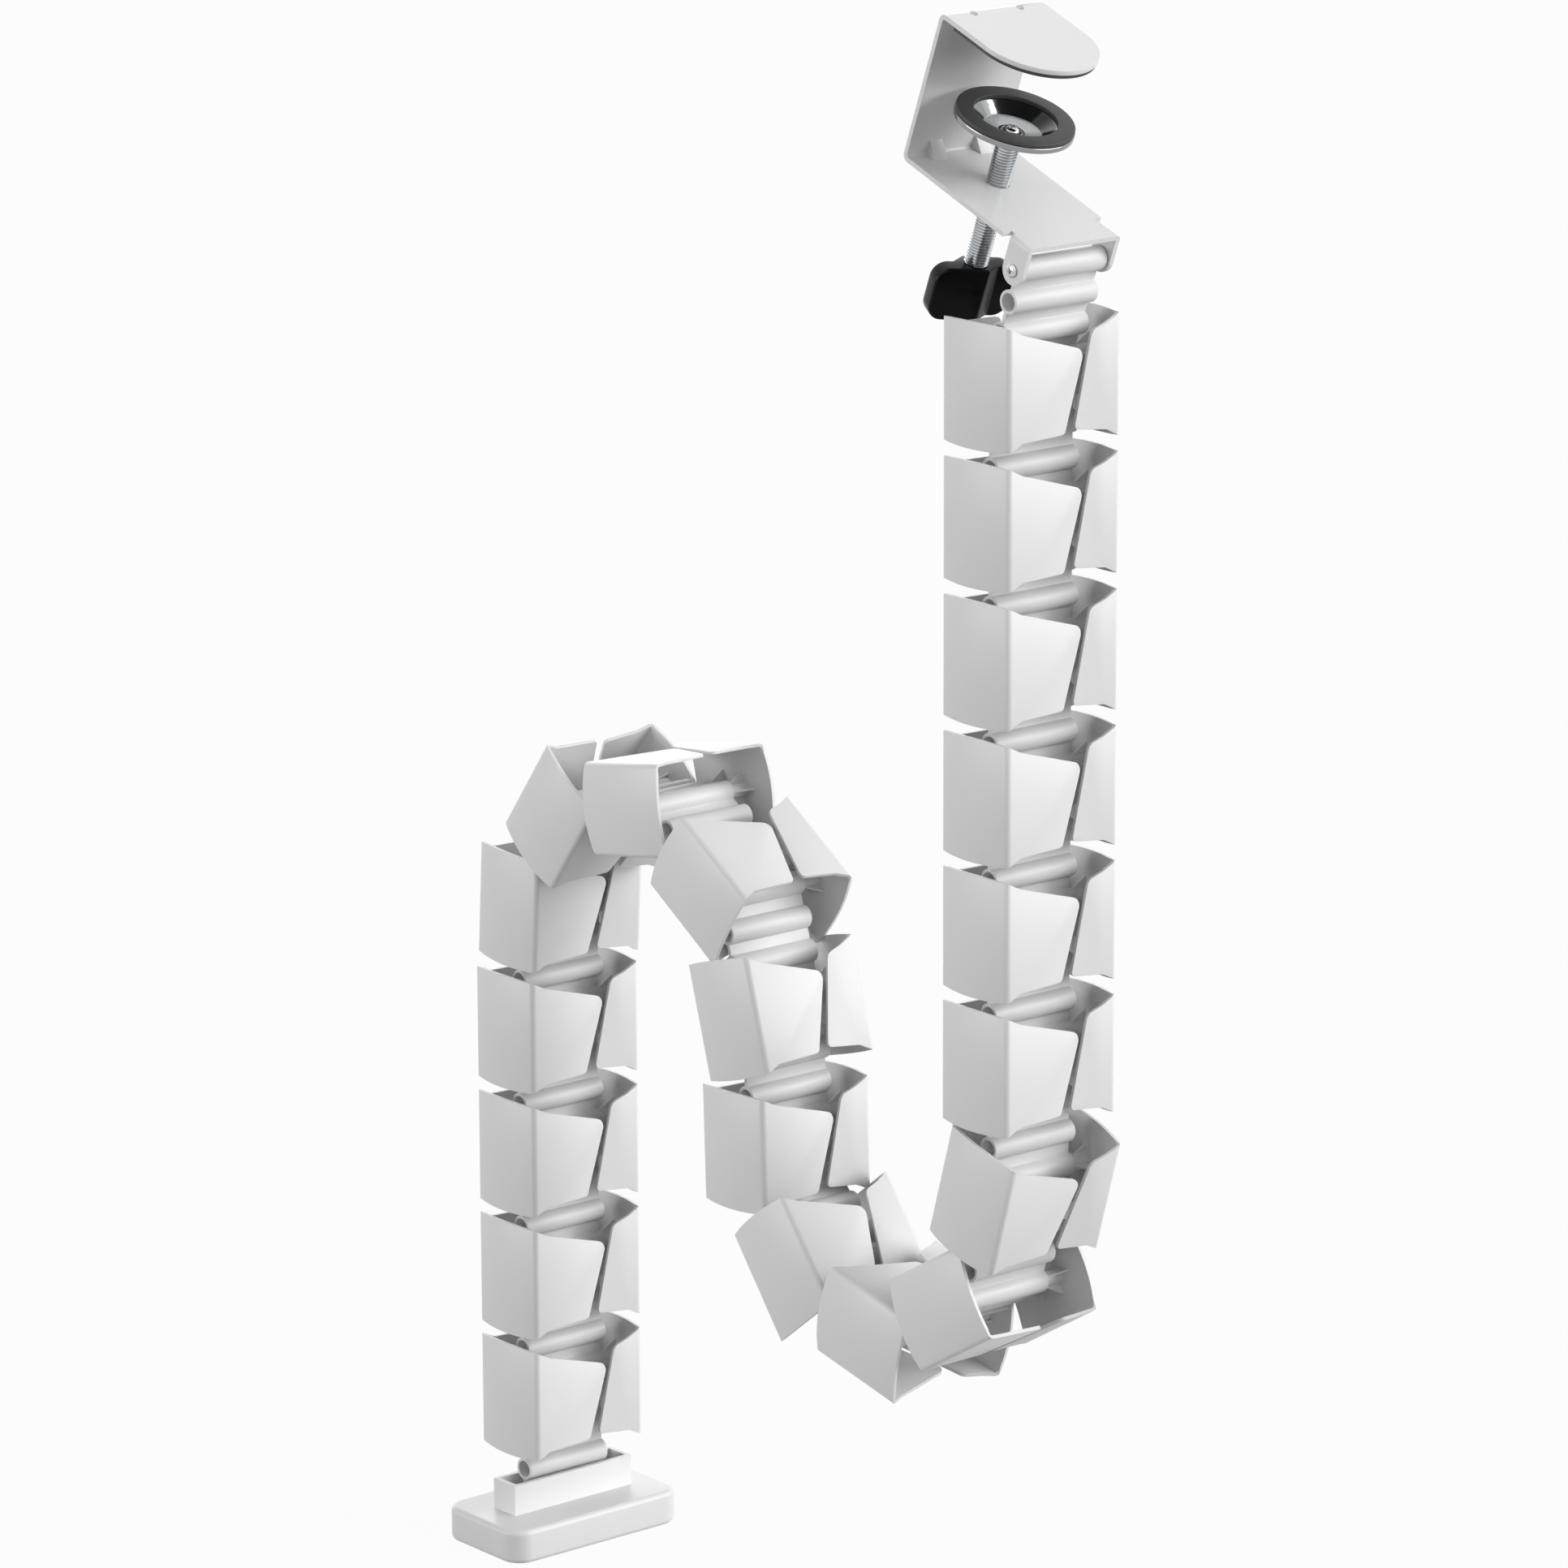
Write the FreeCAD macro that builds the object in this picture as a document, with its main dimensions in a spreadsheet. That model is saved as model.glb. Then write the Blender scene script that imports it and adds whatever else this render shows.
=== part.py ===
import FreeCAD, Part
import Sketcher
import math
import os

# Cable spine: a desk clamp, twenty hollow vertebrae on twenty-one flat four-tube links, and a floor foot.
# Millimetres. X is the axis of every pivot, -Y the front, +Z up, origin under the middle of the foot.

V = FreeCAD.Vector
doc = FreeCAD.newDocument("CableSpine")
sheet = doc.addObject("Spreadsheet::Sheet", "Sizes")

SIZES = [
    # chain
    ("tube_pitch", 14.6),
    ("pin_spacing", 12.2),
    ("tube_radius", 5.0),
    ("bore_radius", 3.65),
    ("tube_half_length", 21.5),
    ("web_thickness", 1.6),
    ("pin_play", 0.05),
    ("side_play", 0.4),
    ("pin_reach", 8.0),
    # half shells
    ("shell_half_width", 29.0),
    ("shell_half_depth", 20.2),
    ("shell_half_height", 24.7),
    ("shell_wall", 1.4),
    ("wall_bulge", 2.6),
    ("edge_arch", 0.8),
    ("fold_radius", 2.6),
    ("flap_shoulder_run", 7.0),
    ("flap_shoulder_drop", 3.2),
    ("wide_flap_top_reach", 39.0),
    ("wide_flap_top_drop", 12.6),
    ("wide_flap_low_reach", 28.8),
    ("wide_flap_low_rise", 3.8),
    ("narrow_flap_top_reach", 15.0),
    ("narrow_flap_top_drop", 5.8),
    ("narrow_flap_low_reach", 24.0),
    ("narrow_flap_low_rise", 5.2),
    ("flap_corner_radius", 4.0),
    ("flap_toe_radius", 2.0),
    ("gusset_thickness", 1.0),
    ("gusset_spread", 5.0),
    # clamp
    ("sheet_metal", 2.0),
    ("bend_radius", 3.2),
    ("jaw_half_width", 25.5),
    ("jaw_back", 73.0),
    ("jaw_top", 76.0),
    ("spindle_offset", 43.6),
    ("arm_top", 12.7),
    ("tab_front", 6.0),
    ("ear_play", 0.3),
    ("relief_width", 2.6),
    ("dimple_spacing", 24.0),
    ("dimple_leg", 6.0),
    ("dimple_width", 6.4),
    ("pad_thickness", 1.6),
    ("pad_rear_gap", 0.5),
    ("pad_margin", 0.5),
    ("spindle_radius", 4.9),
    ("spindle_play", 0.05),
    ("ring_outer_radius", 24.2),
    ("ring_inner_radius", 17.0),
    ("ring_thickness", 1.8),
    ("ring_top", 42.8),
    ("plate_sheet", 1.4),
    ("plate_depth", 5.6),
    ("plate_floor_radius", 12.0),
    ("plate_floor_rise", 1.2),
    ("plate_seat_radius", 4.4),
    ("plate_rim_height", 2.3),
    ("screw_head_radius", 3.4),
    ("screw_head_height", 2.2),
    ("screw_shank_radius", 1.9),
    ("screw_shank_length", 7.0),
    ("knob_span", 36.6),
    ("knob_height", 23.2),
    ("knob_half_depth", 6.1),
    ("knob_wing", 7.2),
    ("knob_waist", 3.9),
    ("knob_wing_start", 9.7),
    ("knob_draft", 0.2),
    ("knob_tip_radius", 6.4),
    ("knob_top", 23.8),
    ("knob_socket_depth", 6.0),
    ("knob_turn", -18.0),
    ("ear_screw_head_radius", 2.7),
    ("ear_screw_head_height", 1.7),
    ("ear_screw_radius", 1.4),
    ("ear_screw_length", 9.0),
    ("bush_length", 12.0),
    # foot
    ("foot_half_length", 47.0),
    ("foot_half_depth", 26.5),
    ("foot_height", 15.5),
    ("foot_corner_radius", 10.0),
    ("foot_edge_radius", 2.5),
    ("socket_half_length", 32.6),
    ("socket_half_depth", 7.6),
    ("socket_wall", 2.0),
    ("socket_rise", 13.8),
    ("socket_floor_gap", 1.0),
    ("foot_pin_height", 18.2),
]

# leans of link 0 and of vertebrae 1 to 20 from upright, in degrees; link n runs in line with vertebra n
LEANS = [21.0, 0.0, 0.0, 0.0, 0.0, 0.0, 0.0, 16.5, 59.5, 102.5, 142.0,
         178.0, 163.5, 122.5, 80.5, 36.5, 3.5, 0.0, 0.0, 0.0, 0.0]


class Size:
    """A named size or a sum, share or root of named sizes: its value and the same formula as text."""

    def __init__(self, value, text):
        self.value = float(value)
        self.text = text

    def __add__(self, other):
        other = size(other)
        return Size(self.value + other.value, "(%s + %s)" % (self.text, other.text))

    def __sub__(self, other):
        other = size(other)
        return Size(self.value - other.value, "(%s - %s)" % (self.text, other.text))

    def __mul__(self, other):
        other = size(other)
        return Size(self.value * other.value, "(%s * %s)" % (self.text, other.text))

    def __truediv__(self, other):
        other = size(other)
        return Size(self.value / other.value, "(%s / %s)" % (self.text, other.text))

    def __neg__(self):
        return Size(-self.value, "(-1 * %s)" % self.text)

    def root(self):
        return Size(math.sqrt(self.value), "sqrt(%s)" % self.text)


def size(value):
    """A size from a size, a plain number or the name of a cell."""
    if isinstance(value, Size):
        return value
    if isinstance(value, str):
        return Size(getattr(sheet, value), "Sizes." + value)
    return Size(value, "(%.6f)" % value)


for row, (name, value) in enumerate(SIZES, start=1):
    sheet.set("A%d" % row, name)
    sheet.set("B%d" % row, "%g" % value)
    sheet.setAlias("B%d" % row, name)
for row, lean in enumerate(LEANS, start=1):
    sheet.set("D%d" % row, "lean_%02d" % (row - 1))
    sheet.set("E%d" % row, "%g" % lean)
    sheet.setAlias("E%d" % row, "lean_%02d" % (row - 1))
doc.recompute()

link_reach = size("tube_pitch") * 3
tip = size("tube_half_length") - "pin_reach"
pin_radius = size("bore_radius") - "pin_play"
# the swell of a quarter circle over its chord, as a share of its radius
QUARTER = 1 - math.sqrt(0.5)


def new_body(name):
    body = doc.addObject("PartDesign::Body", name)
    body.Label = name
    return body


def plane_of(body, role):
    for item in body.Origin.OriginFeatures:
        if item.Role == role:
            return item
    raise ValueError(role)


def new_sketch(body, name, role, offset=None):
    """A sketch on one of the body's own origin planes, moved along that plane's normal by offset."""
    sketch = body.newObject("Sketcher::SketchObject", name)
    sketch.AttachmentSupport = [(plane_of(body, role), "")]
    sketch.MapMode = "FlatFace"
    if offset is not None:
        sketch.AttachmentOffset = FreeCAD.Placement(V(0, 0, offset.value), FreeCAD.Rotation())
        sketch.setExpression("AttachmentOffset.Base.z", offset.text)
    return sketch


def fix(sketch, geometry, point, x, y):
    """Holds one point of a sketch at x, y from its origin."""
    for kind, value in (("DistanceX", x), ("DistanceY", y)):
        if abs(value.value) < 1e-9 and value.text.startswith("(0.0"):
            axis = -2 if kind == "DistanceX" else -1
            sketch.addConstraint(Sketcher.Constraint("PointOnObject", geometry, point, axis))
            continue
        number = sketch.addConstraint(Sketcher.Constraint(kind, -1, 1, geometry, point, value.value))
        sketch.setExpression("Constraints[%d]" % number, value.text)


def outline(sketch, points):
    """A closed outline: each point is (x, y), or (x, y, sagitta) where the edge that leaves it is an arc
    that swells to its right by sagitta, or to its left if that is negative."""
    points = [tuple(size(v) for v in p) for p in points]
    first = sketch.GeometryCount
    count = len(points)
    arcs = {}
    for i, p in enumerate(points):
        q = points[(i + 1) % count]
        a = V(p[0].value, p[1].value, 0)
        b = V(q[0].value, q[1].value, 0)
        if len(p) == 2:
            sketch.addGeometry(Part.LineSegment(a, b), False)
            continue
        run = (b - a).normalize()
        side = V(run.y, -run.x, 0)
        crown = (a + b) * 0.5 + side * p[2].value
        forward = p[2].value > 0
        sketch.addGeometry(Part.Arc(a, crown, b) if forward else Part.Arc(b, crown, a), False)
        arcs[i] = forward
    ends = []
    for i in range(count):
        forward = arcs.get(i, True)
        ends.append((1, 2) if forward else (2, 1))
    for i in range(count):
        j = (i + 1) % count
        sketch.addConstraint(Sketcher.Constraint("Coincident", first + i, ends[i][1], first + j, ends[j][0]))
    for i, p in enumerate(points):
        fix(sketch, first + i, ends[i][0], p[0], p[1])
        if len(p) == 3:
            q = points[(i + 1) % count]
            dx = q[0] - p[0]
            dy = q[1] - p[1]
            half_square = (dx * dx + dy * dy) / 4
            rise = p[2] if p[2].value > 0 else -p[2]
            radius = (half_square + rise * rise) / (rise * 2)
            number = sketch.addConstraint(Sketcher.Constraint("Radius", first + i, radius.value))
            sketch.setExpression("Constraints[%d]" % number, radius.text)


def ring(sketch, x, y, radius):
    """A circle held at x, y."""
    x, y, radius = size(x), size(y), size(radius)
    sketch.addGeometry(Part.Circle(V(x.value, y.value, 0), V(0, 0, 1), radius.value), False)
    number = sketch.GeometryCount - 1
    fix(sketch, number, 3, x, y)
    limit = sketch.addConstraint(Sketcher.Constraint("Radius", number, radius.value))
    sketch.setExpression("Constraints[%d]" % limit, radius.text)


def pad(body, name, sketch, length, both=False, reverse=False):
    feature = body.newObject("PartDesign::Pad", name)
    feature.Profile = sketch
    length = size(length)
    feature.Length = length.value
    feature.setExpression("Length", length.text)
    feature.Midplane = both
    feature.Reversed = reverse
    return feature


def pocket(body, name, sketch, both=False, reverse=False, depth=None):
    """Cuts through all, or by depth."""
    feature = body.newObject("PartDesign::Pocket", name)
    feature.Profile = sketch
    if depth is None:
        feature.Type = "ThroughAll"
    else:
        depth = size(depth)
        feature.Length = depth.value
        feature.setExpression("Length", depth.text)
    feature.Midplane = both
    feature.Reversed = reverse
    doc.recompute()
    before = feature.BaseFeature.Shape.Volume
    if not feature.Shape.Volume < before - 1e-6:
        raise ValueError("%s cuts nothing" % name)
    return feature


def revolve(body, name, sketch, axis_role):
    feature = body.newObject("PartDesign::Revolution", name)
    feature.Profile = sketch
    feature.ReferenceAxis = (plane_of(body, axis_role), [""])
    feature.Angle = 360
    return feature


def fillet(body, name, base, radius, test):
    """Rounds the edges of base whose middle point and ends pass the test."""
    doc.recompute()
    names = []
    for number, edge in enumerate(base.Shape.Edges, start=1):
        if test(edge):
            names.append("Edge%d" % number)
    if not names:
        raise ValueError("%s finds no edge" % name)
    feature = body.newObject("PartDesign::Fillet", name)
    feature.Base = (base, names)
    radius = size(radius)
    feature.Radius = radius.value
    feature.setExpression("Radius", radius.text)
    return feature


def middle(edge):
    return edge.valueAt((edge.FirstParameter + edge.LastParameter) / 2)


def straight_along(edge, axis):
    """Whether a straight edge runs along an axis."""
    if len(edge.Vertexes) != 2:
        return False
    run = edge.Vertexes[1].Point - edge.Vertexes[0].Point
    return run.Length > 1e-6 and abs(abs(run.normalize().dot(axis)) - 1) < 1e-6


def near(value, target, reach=0.05):
    return abs(value - target) < reach


# Half shell: a side wall that bulges outward, two folds, and a front and a rear flap with slanting free edges
def half_shell(name, side, flap):
    """side is -1 for the left half and 1 for the right one. The half is the same turned over about the pivot axis."""
    body = new_body(name)
    top_reach, top_drop, low_reach, low_rise = (size(flap + part) for part in
                                                ("_top_reach", "_top_drop", "_low_reach", "_low_rise"))
    width = size("shell_half_width")
    depth = size("shell_half_depth")
    height = size("shell_half_height")
    wall = size("shell_wall")
    bulge = size("wall_bulge")
    outer = (depth * depth + bulge * bulge) / (bulge * 2)
    axis = width + bulge - outer
    inner = outer - wall
    inset = depth - wall
    inner_width = axis + (inner * inner - inset * inset).root()
    inner_bulge = axis + inner - inner_width
    reach = width - (top_reach if top_reach.value > low_reach.value else low_reach)
    # across: x grows outward from the middle, so it is multiplied by side
    hand = 1 if side > 0 else -1

    def x(value):
        return size(value) * hand

    plan = new_sketch(body, name + "_plan", "XY_Plane")
    outline(plan, [
        (x(reach), -depth),
        (x(width), -depth, bulge * hand),
        (x(width), depth),
        (x(reach), depth),
        (x(reach), inset),
        (x(inner_width), inset, inner_bulge * -hand),
        (x(inner_width), -inset),
        (x(reach), -inset),
    ])
    wall_pad = pad(body, name + "_wall", plan, (height + "edge_arch") * 2, both=True)
    folds = fillet(body, name + "_outer_folds", wall_pad, "fold_radius", lambda e: straight_along(e, V(0, 0, 1))
                   and near(abs(middle(e).x), width.value) and near(abs(middle(e).y), depth.value))
    folds = fillet(body, name + "_inner_folds", folds, size("fold_radius") - wall, lambda e:
                   straight_along(e, V(0, 0, 1)) and near(abs(middle(e).x), inner_width.value)
                   and near(abs(middle(e).y), inset.value))
    # the wall's top and bottom edges arch a little between the folds
    beyond = height + "edge_arch" + 1
    for level, word in ((1, "upper"), (-1, "lower")):
        edge = new_sketch(body, "%s_%s_edge" % (name, word), "YZ_Plane")
        outline(edge, [
            (-depth, height * level, size("edge_arch") * -level),
            (depth, height * level),
            (depth, beyond * level),
            (-depth, beyond * level),
        ])
        pocket(body, "%s_%s_arch" % (name, word), edge, both=True)
    # the flaps' own outline, cut in front, and turned over behind
    run = size("flap_shoulder_run")
    drop = size("flap_shoulder_drop")
    start = width - 0.4
    for face, word in ((1, "front"), (-1, "rear")):
        edge = new_sketch(body, "%s_%s_flap" % (name, word), "XZ_Plane")
        outline(edge, [
            (x(start), height * face),
            (x(width - run), (height - drop) * face),
            (x(width - top_reach), (height - top_drop) * face),
            (x(width - low_reach), (low_rise - height) * face),
            (x(width - run), (drop - height) * face),
            (x(start), -height * face),
            (x(start), -beyond * face),
            (x(reach - 2), -beyond * face),
            (x(reach - 2), beyond * face),
            (x(start), beyond * face),
        ])
        cut = pocket(body, "%s_%s_cut" % (name, word), edge, reverse=face > 0)
    for face in (1, -1):
        for far, level, radius in ((top_reach, height - top_drop, "flap_corner_radius"),
                                   (low_reach, low_rise - height, "flap_toe_radius")):
            spot = x(width - far).value
            at = level.value * face
            word = "%s_%s_%s" % (name, "front" if face > 0 else "rear", radius)
            cut = fillet(body, word, cut, radius, lambda e: straight_along(e, V(0, 1, 0))
                         and near(middle(e).x, spot) and near(middle(e).z, at) and middle(e).y * face < 0)
    # two pins in the tubes of the links above and below, each on four thin gussets
    base = axis + inner + wall / 2
    seat = size("tube_half_length") + "side_play"
    half_gap = size("pin_spacing") / 2
    pins = new_sketch(body, name + "_pins", "YZ_Plane", tip * hand)
    ring(pins, 0, half_gap, pin_radius)
    ring(pins, 0, -half_gap, pin_radius)
    pad(body, name + "_pin_pair", pins, base - tip, reverse=side < 0)
    foot_of = pin_radius + "gusset_spread"
    lip = pin_radius - 0.5
    upright = new_sketch(body, name + "_upright_gusset", "XZ_Plane")
    outline(upright, [
        (x(seat), half_gap + lip),
        (x(base), half_gap + foot_of),
        (x(base), -half_gap - foot_of),
        (x(seat), -half_gap - lip),
        (x(seat), lip - half_gap),
        (x(seat + 3), 0),
        (x(seat), half_gap - lip),
    ])
    pad(body, name + "_upright_gussets", upright, "gusset_thickness", both=True)
    for level, word in ((1, "upper"), (-1, "lower")):
        flat = new_sketch(body, "%s_%s_gusset" % (name, word), "XY_Plane", half_gap * level)
        outline(flat, [
            (x(seat), lip),
            (x(base - 0.3), foot_of),
            (x(base - 0.3), -foot_of),
            (x(seat), -lip),
        ])
        pad(body, "%s_%s_gussets" % (name, word), flat, "gusset_thickness", both=True)
    return body


# Link: four parallel hollow tubes joined by three thin webs, its upper pivot at the origin
def link():
    body = new_body("link_form")
    web = new_sketch(body, "link_web", "YZ_Plane")
    half = size("web_thickness") / 2
    outline(web, [(-half, 0), (half, 0), (half, -link_reach), (-half, -link_reach)])
    pad(body, "link_webs", web, size("tube_half_length") * 2, both=True)
    tubes = new_sketch(body, "link_tubes", "YZ_Plane")
    bores = new_sketch(body, "link_bores", "YZ_Plane")
    for number in range(4):
        ring(tubes, 0, -(size("tube_pitch") * number), "tube_radius")
        ring(bores, 0, -(size("tube_pitch") * number), "bore_radius")
    pad(body, "link_tube_row", tubes, size("tube_half_length") * 2, both=True)
    pocket(body, "link_bore_row", bores, both=True)
    return body


# Clamp, in its own frame: the ear pivot at the origin, the spindle upright, the jaw's back at +Y
def clamp_bracket():
    body = new_body("clamp_bracket")
    metal = size("sheet_metal")
    back = size("jaw_back")
    top = size("jaw_top")
    arm = size("arm_top")
    half = size("jaw_half_width")
    centre = size("spindle_offset")
    front = centre - half
    ear_out = size("tube_half_length") + "ear_play" + metal
    side = new_sketch(body, "bracket_side", "YZ_Plane")
    outline(side, [
        (front, top),
        (front, top - metal),
        (back - metal, top - metal),
        (back - metal, arm),
        (-size("tab_front"), arm),
        (-size("tab_front"), arm - metal),
        (back, arm - metal),
        (back, top),
    ])
    strip = pad(body, "bracket_strip", side, half * 2, both=True)
    bends = fillet(body, "bracket_outer_bends", strip, "bend_radius", lambda e: straight_along(e, V(1, 0, 0))
                   and near(middle(e).y, back.value))
    bends = fillet(body, "bracket_inner_bends", bends, size("bend_radius") - metal, lambda e:
                   straight_along(e, V(1, 0, 0)) and near(middle(e).y, back.value - metal.value))
    # the upper jaw ends in a half circle round the spindle
    nose = new_sketch(body, "bracket_nose", "XY_Plane", top - metal - 1)
    outline(nose, [
        (-half - 1, centre),
        (-half - 1, front - 1),
        (half + 1, front - 1),
        (half + 1, centre),
        (half, centre, -half * QUARTER),
        (0, front, -half * QUARTER),
        (-half, centre),
    ])
    pocket(body, "bracket_nose_cut", nose, reverse=True)
    # the arm narrows to the tab, with a relief notch at each shoulder
    notch = size("relief_width")
    shoulder = notch + "tab_front"
    for hand, word in ((-1, "left"), (1, "right")):
        tab = new_sketch(body, "bracket_%s_tab" % word, "XY_Plane", arm + 1)
        outline(tab, [
            (ear_out * hand, -size("tab_front") - 1),
            (ear_out * hand, shoulder - notch),
            ((ear_out - notch) * hand, shoulder - notch),
            ((ear_out - notch) * hand, shoulder),
            ((half + 1) * hand, shoulder),
            ((half + 1) * hand, -size("tab_front") - 1),
        ])
        pocket(body, "bracket_%s_tab_cut" % word, tab)
        ear = new_sketch(body, "bracket_%s_ear" % word, "YZ_Plane", (ear_out - metal) * hand)
        tongue = size("tab_front")
        outline(ear, [
            (-tongue, arm),
            (-tongue, 0, tongue * QUARTER),
            (0, -tongue, tongue * QUARTER),
            (tongue, 0),
            (tongue, arm),
        ])
        pad(body, "bracket_%s_ear_pad" % word, ear, metal, reverse=hand < 0)
    fillet(body, "bracket_tab_bends", body.Tip, metal * 0.9, lambda e: straight_along(e, V(0, 1, 0))
                     and near(abs(middle(e).x), ear_out.value) and near(middle(e).z, arm.value)
                     and middle(e).y < tongue.value)
    doc.recompute()
    if not body.Tip.Shape.isValid():
        raise ValueError("the tab bends fail")
    holes = new_sketch(body, "bracket_ear_holes", "YZ_Plane")
    ring(holes, 0, 0, size("ear_screw_radius") + "spindle_play")
    pocket(body, "bracket_ear_bores", holes, both=True)
    tapped = new_sketch(body, "bracket_spindle_hole", "XY_Plane", arm + 1)
    ring(tapped, 0, centre, size("spindle_radius") + "spindle_play")
    pocket(body, "bracket_spindle_bore", tapped)
    # pressed ribs in the corners of the two bends
    for hand, word in ((-1, "left"), (1, "right")):
        for level, part in ((1, "low"), (-1, "high")):
            rib = new_sketch(body, "bracket_%s_%s_rib" % (word, part), "YZ_Plane",
                             size("dimple_spacing") / 2 * hand)
            corner = (arm - metal / 2) if level > 0 else (top - metal / 2)
            leg = size("dimple_leg") + metal / 2
            wall = back - metal / 2
            outline(rib, [
                (wall, corner),
                (wall, corner + leg * level),
                (wall - metal / 2, corner + leg * level),
                (wall - leg, corner + metal / 2 * level),
                (wall - leg, corner),
            ])
            pad(body, "bracket_%s_%s_dimple" % (word, part), rib, "dimple_width", both=True)
    return body


def jaw_pad():
    body = new_body("jaw_pad")
    margin = size("jaw_half_width") - "pad_margin"
    plan = new_sketch(body, "pad_plan", "XY_Plane", size("jaw_top") - "sheet_metal")
    rear = size("jaw_back") - "sheet_metal" - "dimple_leg" - "pad_rear_gap"
    centre = size("spindle_offset")
    outline(plan, [
        (-margin, centre, margin * QUARTER),
        (0, centre - margin, margin * QUARTER),
        (margin, centre),
        (margin, rear),
        (-margin, rear),
    ])
    pad(body, "pad_sheet", plan, "pad_thickness", reverse=True)
    return body


plate_rim = size("ring_top") - "ring_thickness"
plate_floor = plate_rim - "plate_depth"
plate_under = plate_floor - "plate_sheet"


def turned(name, points):
    """A solid of revolution about Z: points are (radius, height)."""
    body = new_body(name)
    half = new_sketch(body, name + "_half", "XZ_Plane")
    outline(half, points)
    revolve(body, name + "_turned", half, "Z_Axis")
    return body


def pressure_plate():
    sheet_of = size("plate_sheet")
    outer = size("ring_outer_radius") + 0.3
    floor = size("plate_floor_radius")
    hole = size("screw_shank_radius") + "spindle_play"
    lip = size("ring_inner_radius")
    seat = size("plate_seat_radius")
    rise = size("plate_floor_rise")
    return turned("pressure_plate", [
        (hole, plate_under),
        (seat + sheet_of / 2, plate_under),
        (floor + sheet_of / 2, plate_under + rise),
        (lip + sheet_of / 2, plate_rim - sheet_of),
        (outer - sheet_of, plate_rim - sheet_of),
        (outer - sheet_of, plate_rim - "plate_rim_height"),
        (outer, plate_rim - "plate_rim_height"),
        (outer, plate_rim),
        (lip, plate_rim),
        (floor, plate_floor + rise),
        (seat, plate_floor),
        (hole, plate_floor),
    ])


def spindle():
    """A plain rod where the thread is, bored at its upper end for the plate's screw."""
    radius = size("spindle_radius")
    bore = size("screw_shank_radius") + "spindle_play"
    depth = plate_floor - "screw_shank_length" - 0.2
    bottom = -size("knob_top") - "knob_socket_depth"
    return turned("clamp_spindle", [
        (0, bottom),
        (radius, bottom),
        (radius, plate_under - 0.05),
        (bore, plate_under - 0.05),
        (bore, depth),
        (0, depth),
    ])


def plate_screw():
    head = size("screw_head_radius")
    tall = size("screw_head_height")
    shank = size("screw_shank_radius")
    seat = plate_floor + 0.02
    return turned("plate_screw", [
        (0, plate_floor - "screw_shank_length"),
        (shank, plate_floor - "screw_shank_length"),
        (shank, seat),
        (head, seat),
        (head, seat + tall / 2),
        (head * 0.6, seat + tall),
        (0, seat + tall),
    ])


def clamp_knob():
    """A wing knob, S-shaped from below: two wings that run past each other at the middle, with rounded tips."""
    body = new_body("clamp_knob")
    reach = size("knob_span") / 2
    tall = size("knob_height")
    face = size("knob_half_depth")
    inner = face - "knob_wing"
    root = inner - "knob_draft"
    waist = size("knob_waist")
    start = size("knob_wing_start")
    top = -size("knob_top")
    low = top - tall
    plan = new_sketch(body, "knob_plan", "XY_Plane", top)
    outline(plan, [
        (-reach, -face),
        (waist, -face),
        (start, root),
        (reach, inner),
        (reach, face),
        (-waist, face),
        (-start, -root),
        (-reach, -inner),
    ])
    wings = pad(body, "knob_wings", plan, tall, reverse=True)
    fillet(body, "knob_tips", wings, "knob_tip_radius", lambda e: straight_along(e, V(0, 1, 0))
           and near(abs(middle(e).x), reach.value) and (near(middle(e).z, top.value) or near(middle(e).z, low.value)))
    hole = new_sketch(body, "knob_socket_ring", "XY_Plane", top + 1)
    ring(hole, 0, 0, size("spindle_radius") + "spindle_play")
    pocket(body, "knob_socket", hole, depth=size("knob_socket_depth") + 1 + "spindle_play")
    return body


def ear_piece(name, points):
    """The pair of pieces on the ear pivot: points are (x from the middle, radius), and the left one mirrors the right."""
    body = new_body(name)
    half = new_sketch(body, name + "_half", "XY_Plane")
    outline(half, points)
    revolve(body, name + "_turned", half, "X_Axis")
    return body


def ear_bush():
    """A bush in the first tube of the upper link, screwed to the ear."""
    bore = size("ear_screw_radius")
    inside = size("tube_half_length") + "ear_play"
    return ear_piece("ear_bush_form", [
        (inside - "bush_length", bore),
        (inside, bore),
        (inside, pin_radius),
        (inside - "bush_length", pin_radius),
    ])


def ear_screw():
    head = size("ear_screw_head_radius")
    tall = size("ear_screw_head_height")
    shank = size("ear_screw_radius") - 0.03
    face = size("tube_half_length") + "ear_play" + "sheet_metal"
    return ear_piece("ear_screw_form", [
        (face - "ear_screw_length", 0),
        (face - "ear_screw_length", shank),
        (face, shank),
        (face, head),
        (face + tall / 2, head),
        (face + tall, head * 0.55),
        (face + tall, 0),
    ])


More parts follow.
